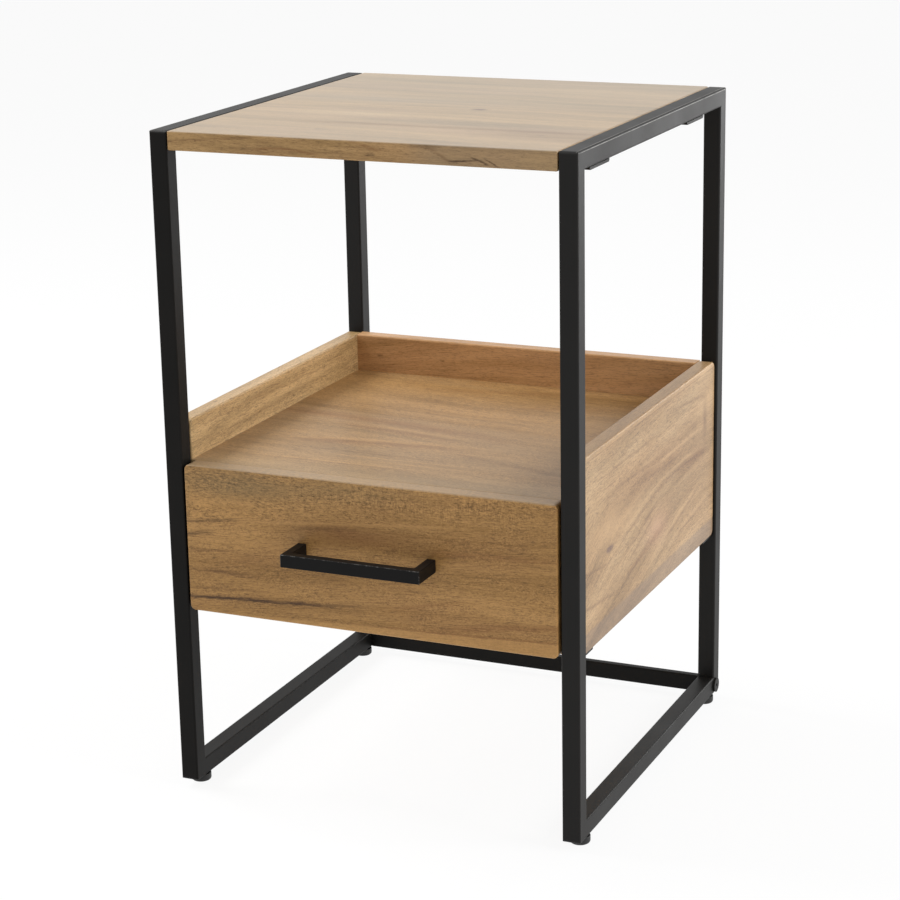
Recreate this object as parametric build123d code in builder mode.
"""Side table with one drawer: square-tube side frames, wooden top and a tray-topped casing.

Millimetres, +Z up, +Y to the back, +X to the right as seen from the front. The origin is on the
floor, at the middle of the whole table with its handle.
"""

import os

from build123d import *

# Side frames
frame_width = 470.0
frame_depth = 470.0
frame_height = 720.0
tube = 20.0
tube_wall = 1.5
tube_corner = 2.0
frame_corner = 3.5

# Rear stretcher and its bolts
stretcher_depth = 10.0
stretcher_wall = 1.2
insert_length = 24.0
bolt_diameter = 6.0
bolt_head_diameter = 17.0
bolt_head_height = 2.5
bolt_engagement = 18.0
hex_key = 4.0
hex_depth = 2.0

# Levelling feet
foot_lift = 9.0
foot_setback = 26.0
foot_gap = 0.5
pad_diameter = 22.0
pad_edge = 3.0
pad_top_edge = 0.5
stem_diameter = 8.0
stem_seat = 5.0
nut_across_flats = 13.0
nut_height = 6.5
stem_above_nut = 8.0
stem_chamfer = 0.8

# Table top and the plates that carry it
top_thickness = 20.0
top_side_gap = 1.0
top_edge = 1.5
plate_length = 56.0
plate_width = 44.0
plate_thickness = 3.0
plate_bevel = 2.0
plate_inset = 0.5
plate_front_offset = 14.0
plate_rear_offset = 61.0
plate_screw_inset = 10.0

# Casing with its tray
panel_thickness = 18.0
panel_inset = 3.0
panel_corner = 8.0
panel_edge = 2.0
casing_gap = 1.0
casing_lift = 200.0
casing_height = 209.0
tray_rim = 44.0
bottom_thickness = 12.0
shelf_edge = 0.6
tab_length = 32.0
tab_width = 14.0
tab_thickness = 3.0
dowel_diameter = 6.0
dowel_length = 30.0
dowel_in_side = 10.0
dowel_setback = 60.0
dowel_end_gap = 0.5

# Drawer front and handle
front_thickness = 20.0
front_proud = 2.0
front_side_gap = 2.7
front_rear_gap = 0.8
front_top_rise = 0.3
front_lift = 2.0
front_corner = 6.0
handle_length = 158.0
handle_projection = 42.0
handle_height = 14.0
handle_thickness = 10.0
handle_edge = 1.0
handle_rise = 2.6
handle_screw_diameter = 4.0
handle_screw_engagement = 14.0

# Drawer box
box_wall = 12.0
box_floor_gap = 8.0
box_roof_gap = 22.0
box_rear_gap = 42.0
drawer_bottom_thickness = 6.0
groove_depth = 5.0
groove_lift = 8.0
groove_gap = 0.1
corner_screw_setback = 18.0
front_screw_setback = 40.0

# Telescopic slides
slide_thickness = 12.7
slide_height = 35.0
slide_sheet = 1.2
slide_lip = 3.0
slide_setback = 9.0
slide_running_gap = 0.3
slide_screw_setback = 40.0

# Wood screws and fits
screw_diameter = 4.0
screw_head_diameter = 8.0
screw_head_height = 2.4
screw_length = 16.0
small_screw_diameter = 3.5
small_screw_head = 6.0
small_screw_length = 10.0
recess_span = 4.4
recess_depth = 1.4
small_recess_span = 3.4
small_recess_depth = 0.8
recess_width = 1.0
fit_gap = 0.05
hole_gap = 0.25

# Places worked out from the sizes above
handle_reach = front_proud + handle_projection
front_y = (handle_reach - frame_depth) / 2
rear_y = front_y + frame_depth
frame_bottom = foot_lift
frame_top = foot_lift + frame_height
post_x = (frame_width - tube) / 2
bore_corner = max(tube_corner - tube_wall, fit_gap)

stretcher_y = rear_y - tube + stretcher_depth / 2
stretcher_z = frame_bottom + tube / 2
stretcher_length = frame_width - 2 * tube

top_underside = frame_top - tube
plate_centres_y = (
    front_y + tube + plate_front_offset + plate_length / 2,
    rear_y - tube - plate_rear_offset - plate_length / 2,
)

casing_outer_x = frame_width / 2 - panel_inset
casing_inner_x = casing_outer_x - panel_thickness
casing_front_y = front_y + tube + casing_gap
casing_rear_y = rear_y - tube - casing_gap
casing_bottom = frame_bottom + casing_lift
casing_top = casing_bottom + casing_height
tray_top = casing_top - tray_rim
tray_underside = tray_top - panel_thickness
floor_top = casing_bottom + bottom_thickness
back_front_y = casing_rear_y - panel_thickness
panel_x = casing_outer_x - panel_thickness / 2

front_face_y = front_y - front_proud
front_rear_y = front_face_y + front_thickness
shelf_front_y = front_rear_y + front_rear_gap
front_width = frame_width - 2 * tube - 2 * front_side_gap
front_bottom = casing_bottom + front_lift
front_top = tray_top + front_top_rise
handle_z = (front_bottom + front_top) / 2 + handle_rise
handle_screw_x = (handle_length - handle_thickness) / 2

box_outer_x = casing_inner_x - slide_thickness
box_inner_x = box_outer_x - box_wall
box_bottom = floor_top + box_floor_gap
box_top = tray_underside - box_roof_gap
box_rear_y = back_front_y - box_rear_gap
box_front_y = front_rear_y + box_wall
box_back_y = box_rear_y - box_wall
groove_z = box_bottom + groove_lift

slide_front_y = casing_front_y + slide_setback
slide_length = box_rear_y - slide_setback - slide_front_y
slide_z = (box_bottom + box_top) / 2

sides = (("left", -1), ("right", 1))
ends_y = (("front", front_y), ("rear", rear_y))
dowelled = ("tray_floor", "casing_bottom", "casing_back")


def save(piece, name):
    """Label a finished piece and write it out."""
    piece.part.label = name
    export_step(piece.part, f"parts/{name}.step")


def tube_section(width, height, wall, bore_radius):
    """Hollow section with rounded corners, drawn in the open sketch."""
    RectangleRounded(width, height, tube_corner)
    RectangleRounded(width - 2 * wall, height - 2 * wall, bore_radius, mode=Mode.SUBTRACT)


def across(y):
    """Plane facing the front at depth y, with X to the right and Z up."""
    return Plane.XZ.offset(-y)


def facing(x, y, z, direction):
    """Place a hole or a screw whose head looks in the given direction."""
    return Plane(origin=(x, y, z), z_dir=direction)


def add_screw(place, head_diameter, head_height, diameter, length):
    """Flat-topped screw: its head stands on the place, its shank goes down into it."""
    with Locations(place):
        Cylinder(head_diameter / 2, head_height, align=(Align.CENTER, Align.CENTER, Align.MIN))
        Cylinder(diameter / 2, length, align=(Align.CENTER, Align.CENTER, Align.MAX))


def cut_cross(place, span, depth):
    """Cross recess for a screwdriver, cut into a head whose top is at the place."""
    downwards = (Align.CENTER, Align.CENTER, Align.MAX)
    with Locations(place):
        Box(span, recess_width, depth, align=downwards, mode=Mode.SUBTRACT)
        Box(recess_width, span, depth, align=downwards, mode=Mode.SUBTRACT)


def add_large_screw(place, diameter, length):
    """Screw with a large flat head and a cross recess."""
    add_screw(place, screw_head_diameter, screw_head_height, diameter, length)
    cut_cross(place.offset(screw_head_height), recess_span, recess_depth)


def add_small_screw(place, length):
    """Screw with a thin head and a cross recess."""
    add_screw(place, small_screw_head, slide_sheet, small_screw_diameter, length)
    cut_cross(place.offset(slide_sheet), small_recess_span, small_recess_depth)


def add_countersunk(place, gap, length, mode):
    """Small countersunk screw below the place, or the seat for it."""
    head = small_screw_head / 2 + gap
    shank = small_screw_diameter / 2 + gap
    downwards = (Align.CENTER, Align.CENTER, Align.MAX)
    with Locations(place):
        Cone(shank, head, slide_sheet, align=downwards, mode=mode)
        Cylinder(shank, length, align=downwards, mode=mode)


def mitre(end_y, height):
    """Plane between a post and a rail at one corner of a frame, facing the rail."""
    inward = 1 if end_y == front_y else -1
    outward = 1 if height == frame_top else -1
    return Plane(origin=(0, end_y, height), z_dir=(0, inward, outward))


def stretcher_bolt_place(sign):
    """Where a stretcher bolt's head lies on the outside of a frame."""
    return facing(sign * frame_width / 2, stretcher_y, stretcher_z, (sign, 0, 0))


def foot_places():
    """Name and centre of each foot."""
    for side, sign in sides:
        yield f"front_{side}", sign * post_x, front_y + foot_setback
        yield f"rear_{side}", sign * post_x, rear_y - foot_setback


def plate_places():
    """Name, side and centre of each plate under the top."""
    for side, sign in sides:
        for end, centre_y in zip(("front", "rear"), plate_centres_y):
            yield f"{end}_{side}", sign, centre_y


def tab_places():
    """Name, side, post face and inward direction of each tab under the casing."""
    for side, sign in sides:
        yield f"front_{side}", sign, front_y + tube, 1
        yield f"rear_{side}", sign, rear_y - tube, -1


def plate_screw_place(sign, centre_y):
    """Underside of a top plate, at its screw."""
    screw_x = frame_width / 2 - plate_inset - plate_width + plate_screw_inset
    return facing(sign * screw_x, centre_y, top_underside - plate_thickness, (0, 0, -1))


def tab_screw_place(sign, face_y, inward):
    """Underside of a casing tab, at its screw."""
    screw_y = face_y + inward * tab_length / 2
    return facing(sign * panel_x, screw_y, casing_bottom - tab_thickness, (0, 0, -1))


def dowel_places(sign, piece):
    """Inner face of a casing side, at each dowel of a piece, looking to the middle of the casing."""
    shelf_ys = (shelf_front_y + dowel_setback, back_front_y - dowel_setback)
    back_y = back_front_y + panel_thickness / 2
    spots = {
        "tray_floor": [(y, tray_top - panel_thickness / 2) for y in shelf_ys],
        "casing_bottom": [(y, casing_bottom + bottom_thickness / 2) for y in shelf_ys],
        "casing_back": [(back_y, casing_bottom + dowel_setback), (back_y, casing_top - dowel_setback)],
    }
    return [facing(sign * casing_inner_x, y, z, (-sign, 0, 0)) for y, z in spots[piece]]


def slide_screw_ys():
    """Depth of each screw along a slide."""
    first = slide_front_y + slide_screw_setback
    last = slide_front_y + slide_length - slide_screw_setback
    return first, (first + last) / 2, last


def case_screw_places(sign):
    """Drawer side of an outer slide member's web, at each screw into the casing."""
    web_x = sign * (casing_inner_x - slide_sheet)
    return [facing(web_x, y, slide_z, (-sign, 0, 0)) for y in slide_screw_ys()]


def drawer_screw_places(sign):
    """Casing side of an inner slide member's web, at each screw into the drawer."""
    web_x = sign * (box_outer_x + slide_sheet)
    return [facing(web_x, y, slide_z, (sign, 0, 0)) for y in slide_screw_ys()]


def corner_screw_places(sign):
    """Outer face of a drawer side, at each screw into the box front and back."""
    for y in (front_rear_y + box_wall / 2, box_rear_y - box_wall / 2):
        for z in (box_bottom + corner_screw_setback, box_top - corner_screw_setback):
            yield facing(sign * box_outer_x, y, z, (sign, 0, 0))


def front_screw_places():
    """Inner face of the box front, at each screw into the drawer front."""
    for sign in (-1, 1):
        for z in (box_bottom + corner_screw_setback, box_top - corner_screw_setback):
            yield facing(sign * (box_inner_x - front_screw_setback), box_front_y, z, (0, 1, 0))


def handle_screw_places():
    """Inner face of the box front, at each screw into the handle."""
    return [facing(sign * handle_screw_x, box_front_y, handle_z, (0, 1, 0)) for sign in (-1, 1)]


os.makedirs("parts", exist_ok=True)

# Outline that the frames' welded corners are ground round to
with BuildPart() as frame_outline:
    with BuildSketch(Plane.YZ.offset(-frame_width / 2)):
        with Locations(((front_y + rear_y) / 2, (frame_bottom + frame_top) / 2)):
            RectangleRounded(frame_depth, frame_height, frame_corner)
    extrude(amount=frame_width)

# Side frames: two posts and two rails each, mitred at the corners
for side, sign in sides:
    for end, end_y in ends_y:
        with BuildPart() as post:
            with BuildSketch(Plane.XY.offset(frame_bottom)):
                with Locations((sign * post_x, end_y + (tube / 2 if end == "front" else -tube / 2))):
                    tube_section(tube, tube, tube_wall, bore_corner)
            extrude(amount=frame_height)
            split(bisect_by=mitre(end_y, frame_top), keep=Keep.BOTTOM)
            split(bisect_by=mitre(end_y, frame_bottom), keep=Keep.BOTTOM)
            add(frame_outline.part, mode=Mode.INTERSECT)
            if end == "rear":
                with Locations(stretcher_bolt_place(sign)):
                    Hole(bolt_diameter / 2 + hole_gap, depth=tube)
        save(post, f"{side}_{end}_post")

    for level, level_z in (("top", frame_top), ("bottom", frame_bottom)):
        with BuildPart() as rail:
            with BuildSketch(across(front_y)):
                with Locations((sign * post_x, level_z + (-tube / 2 if level == "top" else tube / 2))):
                    tube_section(tube, tube, tube_wall, bore_corner)
            extrude(amount=-frame_depth)
            split(bisect_by=mitre(front_y, level_z), keep=Keep.TOP)
            split(bisect_by=mitre(rear_y, level_z), keep=Keep.TOP)
            add(frame_outline.part, mode=Mode.INTERSECT)
            if level == "bottom":
                with Locations(stretcher_bolt_place(sign)):
                    Hole(bolt_diameter / 2 + hole_gap, depth=tube)
                for name, x, y in foot_places():
                    if side in name:
                        with Locations(facing(x, y, frame_bottom, (0, 0, -1))):
                            Hole(stem_diameter / 2 + hole_gap, depth=tube_wall)
        save(rail, f"{side}_{level}_rail")

# Rear stretcher: a flat tube between the frames
with BuildPart() as rear_stretcher:
    with BuildSketch(Plane.YZ.offset(-stretcher_length / 2)):
        with Locations((stretcher_y, stretcher_z)):
            tube_section(stretcher_depth, tube, stretcher_wall, bore_corner)
    extrude(amount=stretcher_length)
save(rear_stretcher, "rear_stretcher")

# Threaded inserts that close the stretcher's ends
with BuildPart() as stretcher_inserts:
    for side, sign in sides:
        with BuildSketch(Plane.YZ.offset(sign * stretcher_length / 2)):
            with Locations((stretcher_y, stretcher_z)):
                insert_gap = stretcher_wall + fit_gap
                RectangleRounded(stretcher_depth - 2 * insert_gap, tube - 2 * insert_gap, bore_corner)
                Circle(bolt_diameter / 2 + fit_gap, mode=Mode.SUBTRACT)
        extrude(amount=-sign * insert_length)
save(stretcher_inserts, "stretcher_inserts")

# Bolts through the frames into the stretcher, with flat heads and hexagon sockets
with BuildPart() as stretcher_bolts:
    for side, sign in sides:
        place = stretcher_bolt_place(sign)
        add_screw(place, bolt_head_diameter, bolt_head_height, bolt_diameter, tube + bolt_engagement)
        with BuildSketch(place.offset(bolt_head_height)):
            RegularPolygon(hex_key / 2, 6, major_radius=False)
        extrude(amount=-hex_depth, mode=Mode.SUBTRACT)
save(stretcher_bolts, "stretcher_bolts")

# Weld nuts on the floor of the bottom rails
with BuildPart() as foot_nuts:
    for name, x, y in foot_places():
        with BuildSketch(Plane.XY.offset(frame_bottom + tube_wall)):
            with Locations((x, y)):
                RegularPolygon(nut_across_flats / 2, 6, major_radius=False)
                Circle(stem_diameter / 2 + fit_gap, mode=Mode.SUBTRACT)
        extrude(amount=nut_height)
save(foot_nuts, "foot_nuts")

# Levelling feet: a round pad moulded on a threaded stem
for name, x, y in foot_places():
    pad_height = foot_lift - foot_gap
    with BuildPart() as pad:
        with BuildSketch():
            with Locations((x, y)):
                Circle(pad_diameter / 2)
        extrude(amount=pad_height)
        fillet(pad.edges().group_by(Axis.Z)[0], pad_edge)
        fillet(pad.edges().group_by(Axis.Z)[-1], pad_top_edge)
        with Locations(facing(x, y, pad_height, (0, 0, 1))):
            Hole(stem_diameter / 2 + fit_gap, depth=stem_seat)
    save(pad, f"foot_pad_{name}")

    with BuildPart() as stem:
        with BuildSketch(Plane.XY.offset(pad_height - stem_seat)):
            with Locations((x, y)):
                Circle(stem_diameter / 2)
        extrude(amount=stem_seat + foot_gap + tube_wall + nut_height + stem_above_nut)
        chamfer(stem.edges().group_by(Axis.Z)[-1], stem_chamfer)
    save(stem, f"foot_stem_{name}")

# Table top: one board between the rails, seated on the plates
with BuildPart() as table_top:
    with BuildSketch(Plane.XY.offset(top_underside)):
        with Locations((0, (front_y + rear_y) / 2)):
            Rectangle(frame_width - 2 * tube - 2 * top_side_gap, frame_depth)
    extrude(amount=top_thickness)
    fillet(table_top.edges(), top_edge)
    for name, sign, centre_y in plate_places():
        with Locations(plate_screw_place(sign, centre_y)):
            Hole(screw_diameter / 2 + fit_gap, depth=screw_length + fit_gap)
save(table_top, "table_top")

# Plates welded under the top rails, with bevelled ends
for name, sign, centre_y in plate_places():
    with BuildPart() as plate:
        with BuildSketch(Plane.XY.offset(top_underside)):
            with Locations((sign * (frame_width / 2 - plate_inset - plate_width / 2), centre_y)):
                Rectangle(plate_width, plate_length)
        extrude(amount=-plate_thickness)
        chamfer(plate.edges().filter_by(Axis.X).group_by(Axis.Z)[0], plate_bevel)
        with Locations(plate_screw_place(sign, centre_y)):
            Hole(screw_diameter / 2 + hole_gap, depth=plate_thickness)
    save(plate, f"top_plate_{name}")

# Screws through the plates into the top
with BuildPart() as top_screws:
    for name, sign, centre_y in plate_places():
        place = plate_screw_place(sign, centre_y)
        add_large_screw(place, screw_diameter, screw_length)
save(top_screws, "top_screws")

# Casing sides, in the plane of the frames between the posts
for side, sign in sides:
    with BuildPart() as casing_side:
        with BuildSketch(Plane.YZ.offset(sign * casing_inner_x)):
            with Locations(((casing_front_y + casing_rear_y) / 2, (casing_bottom + casing_top) / 2)):
                RectangleRounded(casing_rear_y - casing_front_y, casing_height, panel_corner)
        extrude(amount=sign * panel_thickness)
        rims = casing_side.edges().group_by(Axis.X)
        fillet(rims[0] + rims[-1], panel_edge)
        for piece in dowelled:
            with Locations(dowel_places(sign, piece)):
                Hole(dowel_diameter / 2 + fit_gap, depth=dowel_in_side + dowel_end_gap)
        for name, tab_sign, face_y, inward in tab_places():
            if tab_sign == sign:
                with Locations(tab_screw_place(sign, face_y, inward)):
                    Hole(screw_diameter / 2 + fit_gap, depth=screw_length + fit_gap)
        with Locations(case_screw_places(sign)):
            Hole(small_screw_diameter / 2 + fit_gap, depth=small_screw_length + fit_gap)
    save(casing_side, f"casing_{side}_side")

# Casing back, between the sides
with BuildPart() as casing_back:
    with BuildSketch(across(back_front_y)):
        with Locations((0, (casing_bottom + casing_top) / 2)):
            Rectangle(2 * casing_inner_x, casing_height)
    extrude(amount=-panel_thickness)
    fillet(casing_back.edges().filter_by(Axis.X).group_by(Axis.Z)[-1], panel_edge)
    for side, sign in sides:
        with Locations(dowel_places(sign, "casing_back")):
            Hole(dowel_diameter / 2 + fit_gap, depth=dowel_length - dowel_in_side + dowel_end_gap)
save(casing_back, "casing_back")

# Tray floor and casing bottom, between the sides and in front of the back
for name, underside, thickness in (
    ("tray_floor", tray_underside, panel_thickness),
    ("casing_bottom", casing_bottom, bottom_thickness),
):
    with BuildPart() as shelf:
        with BuildSketch(Plane.XY.offset(underside)):
            with Locations((0, (shelf_front_y + back_front_y) / 2)):
                Rectangle(2 * casing_inner_x, back_front_y - shelf_front_y)
        extrude(amount=thickness)
        fillet(shelf.edges().filter_by(Axis.X).group_by(Axis.Y)[0], shelf_edge)
        for side, sign in sides:
            with Locations(dowel_places(sign, name)):
                Hole(dowel_diameter / 2 + fit_gap, depth=dowel_length - dowel_in_side + dowel_end_gap)
    save(shelf, name)

# Dowels that join the casing
with BuildPart() as casing_dowels:
    for side, sign in sides:
        for piece in dowelled:
            for place in dowel_places(sign, piece):
                with BuildSketch(place.offset(-dowel_in_side)):
                    Circle(dowel_diameter / 2)
                extrude(amount=dowel_length)
save(casing_dowels, "casing_dowels")

# Tabs welded to the posts, under the casing sides
for name, sign, face_y, inward in tab_places():
    with BuildPart() as tab:
        with BuildSketch(Plane.XY.offset(casing_bottom)):
            with Locations((sign * panel_x, face_y + inward * tab_length / 2)):
                Rectangle(tab_width, tab_length)
        extrude(amount=-tab_thickness)
        with Locations(tab_screw_place(sign, face_y, inward)):
            Hole(screw_diameter / 2 + hole_gap, depth=tab_thickness)
    save(tab, f"casing_tab_{name}")

# Screws through the tabs into the casing
with BuildPart() as casing_screws:
    for name, sign, face_y, inward in tab_places():
        place = tab_screw_place(sign, face_y, inward)
        add_large_screw(place, screw_diameter, screw_length)
save(casing_screws, "casing_screws")

# Drawer front: rounded corners, eased edges
with BuildPart() as drawer_front:
    with BuildSketch(across(front_face_y)):
        with Locations((0, (front_bottom + front_top) / 2)):
            RectangleRounded(front_width, front_top - front_bottom, front_corner)
    extrude(amount=-front_thickness)
    outline = drawer_front.edges().group_by(Axis.Y)
    fillet(outline[0], panel_edge)
    fillet(outline[-1], shelf_edge)
    with Locations(handle_screw_places()):
        Hole(handle_screw_diameter / 2 + hole_gap)
    for place in front_screw_places():
        with Locations(place):
            Hole(screw_diameter / 2 + fit_gap, depth=box_wall + screw_length)
save(drawer_front, "drawer_front")

# Handle: a square bar bent to a U, with a thread in each leg
with BuildPart() as handle:
    with BuildSketch(Plane.XY.offset(handle_z - handle_height / 2)):
        with Locations((0, front_face_y - handle_projection / 2)):
            Rectangle(handle_length, handle_projection)
        with Locations((0, front_face_y - (handle_projection - handle_thickness) / 2)):
            Rectangle(
                handle_length - 2 * handle_thickness,
                handle_projection - handle_thickness,
                mode=Mode.SUBTRACT,
            )
    extrude(amount=handle_height)
    fillet(handle.edges().filter_by(GeomType.LINE), handle_edge)
    for place in handle_screw_places():
        with Locations(facing(place.origin.X, front_face_y, handle_z, (0, 1, 0))):
            Hole(handle_screw_diameter / 2 + fit_gap, depth=handle_screw_engagement + fit_gap)
save(handle, "handle")

# Screws from inside the drawer into the handle
with BuildPart() as handle_screws:
    for place in handle_screw_places():
        grip = box_wall + front_thickness + handle_screw_engagement
        add_large_screw(place, handle_screw_diameter, grip)
save(handle_screws, "handle_screws")

# Drawer sides, with a groove for the bottom
for side, sign in sides:
    with BuildPart() as drawer_side:
        with BuildSketch(across(front_rear_y)):
            with Locations((sign * (box_inner_x + box_wall / 2), (box_bottom + box_top) / 2)):
                Rectangle(box_wall, box_top - box_bottom)
            with Locations((sign * box_inner_x, groove_z + drawer_bottom_thickness / 2)):
                Rectangle(2 * groove_depth, drawer_bottom_thickness, mode=Mode.SUBTRACT)
        extrude(amount=front_rear_y - box_rear_y)
        for place in corner_screw_places(sign):
            with Locations(place):
                Hole(small_screw_diameter / 2 + hole_gap, depth=box_wall)
        with Locations(drawer_screw_places(sign)):
            Hole(small_screw_diameter / 2 + fit_gap, depth=small_screw_length + fit_gap)
    save(drawer_side, f"drawer_{side}_side")

# Box front and back between the drawer sides, with the same groove
for name, near_y, groove_y in (
    ("drawer_box_front", front_rear_y, box_front_y),
    ("drawer_back", box_back_y, box_back_y),
):
    with BuildPart() as box_end:
        with BuildSketch(across(near_y)):
            with Locations((0, (box_bottom + box_top) / 2)):
                Rectangle(2 * box_inner_x, box_top - box_bottom)
        extrude(amount=-box_wall)
        with BuildSketch(Plane.XY.offset(groove_z)):
            with Locations((0, groove_y)):
                Rectangle(2 * box_inner_x, 2 * groove_depth)
        extrude(amount=drawer_bottom_thickness, mode=Mode.SUBTRACT)
        for side, sign in sides:
            for place in corner_screw_places(sign):
                if near_y < place.origin.Y < near_y + box_wall:
                    with Locations(place):
                        Hole(small_screw_diameter / 2 + fit_gap, depth=box_wall + small_screw_length)
        if name == "drawer_box_front":
            with Locations(handle_screw_places()):
                Hole(handle_screw_diameter / 2 + hole_gap, depth=box_wall)
            for place in front_screw_places():
                with Locations(place):
                    Hole(screw_diameter / 2 + hole_gap, depth=box_wall)
    save(box_end, name)

# Drawer bottom, held in the grooves
with BuildPart() as drawer_bottom:
    with BuildSketch(Plane.XY.offset(groove_z + groove_gap)):
        with Locations((0, (box_front_y + box_back_y) / 2)):
            inset = groove_depth - groove_gap
            Rectangle(2 * (box_inner_x + inset), box_back_y - box_front_y + 2 * inset)
    extrude(amount=drawer_bottom_thickness - 2 * groove_gap)
save(drawer_bottom, "drawer_bottom")

# Screws at the drawer box's corners
with BuildPart() as drawer_corner_screws:
    for side, sign in sides:
        for place in corner_screw_places(sign):
            grip = box_wall + small_screw_length - fit_gap
            add_small_screw(place, grip)
save(drawer_corner_screws, "drawer_corner_screws")

# Screws from the box front into the drawer front
with BuildPart() as drawer_front_screws:
    for place in front_screw_places():
        grip = box_wall + screw_length - fit_gap
        add_large_screw(place, screw_diameter, grip)
save(drawer_front_screws, "drawer_front_screws")


def channel(sign, near, far, half_height, lip):
    """Lipped channel, open to the drawer, between two depths measured from the casing side."""
    middle = sign * (casing_inner_x - (near + far) / 2)
    web = sign * (casing_inner_x - near - slide_sheet / 2)
    edge = sign * (casing_inner_x - far + slide_sheet / 2)
    with Locations((web, slide_z)):
        Rectangle(slide_sheet, 2 * half_height)
    with Locations(*[(middle, slide_z + up * (half_height - slide_sheet / 2)) for up in (-1, 1)]):
        Rectangle(far - near, slide_sheet)
    with Locations(*[(edge, slide_z + up * (half_height - lip / 2)) for up in (-1, 1)]):
        Rectangle(slide_sheet, lip)


# Slide members, one inside the other: outer on the casing, middle, inner on the drawer
outer_far = slide_thickness - slide_sheet
middle_near = slide_sheet + slide_running_gap
middle_far = outer_far - slide_sheet - slide_running_gap
outer_half = slide_height / 2
middle_half = outer_half - slide_sheet - slide_running_gap
inner_half = middle_half - slide_sheet - slide_running_gap
inner_near = middle_near + slide_sheet + slide_running_gap
leg_half = middle_half - slide_lip - slide_running_gap

for side, sign in sides:
    with BuildPart() as slide_outer:
        with BuildSketch(across(slide_front_y)):
            channel(sign, 0, outer_far, outer_half, slide_lip)
        extrude(amount=-slide_length)
        for place in case_screw_places(sign):
            add_countersunk(place, fit_gap, slide_sheet, Mode.SUBTRACT)
    save(slide_outer, f"{side}_slide_outer")

    with BuildPart() as slide_middle:
        with BuildSketch(across(slide_front_y)):
            channel(sign, middle_near, middle_far, middle_half, slide_lip)
        extrude(amount=-slide_length)
    save(slide_middle, f"{side}_slide_middle")

    with BuildPart() as slide_inner:
        with BuildSketch(across(slide_front_y)):
            web_x = sign * (box_outer_x + slide_sheet / 2)
            leg_x = sign * (casing_inner_x - (inner_near + slide_thickness) / 2)
            foot_x = sign * (casing_inner_x - inner_near - slide_sheet / 2)
            with Locations((web_x, slide_z)):
                Rectangle(slide_sheet, 2 * leg_half)
            with Locations(*[(leg_x, slide_z + up * (leg_half - slide_sheet / 2)) for up in (-1, 1)]):
                Rectangle(slide_thickness - inner_near, slide_sheet)
            foot_height = inner_half - leg_half + slide_sheet
            with Locations(*[(foot_x, slide_z + up * (inner_half - foot_height / 2)) for up in (-1, 1)]):
                Rectangle(slide_sheet, foot_height)
        extrude(amount=-slide_length)
        with Locations(drawer_screw_places(sign)):
            Hole(small_screw_diameter / 2 + hole_gap, depth=slide_sheet)
    save(slide_inner, f"{side}_slide_inner")

# Flush screws that hold the outer members to the casing
with BuildPart() as slide_case_screws:
    for side, sign in sides:
        for place in case_screw_places(sign):
            add_countersunk(place, 0, small_screw_length, Mode.ADD)
            cut_cross(place, small_recess_span, small_recess_depth)
save(slide_case_screws, "slide_case_screws")

# Screws that hold the inner members to the drawer
with BuildPart() as slide_drawer_screws:
    for side, sign in sides:
        for place in drawer_screw_places(sign):
            add_small_screw(place, small_screw_length)
save(slide_drawer_screws, "slide_drawer_screws")
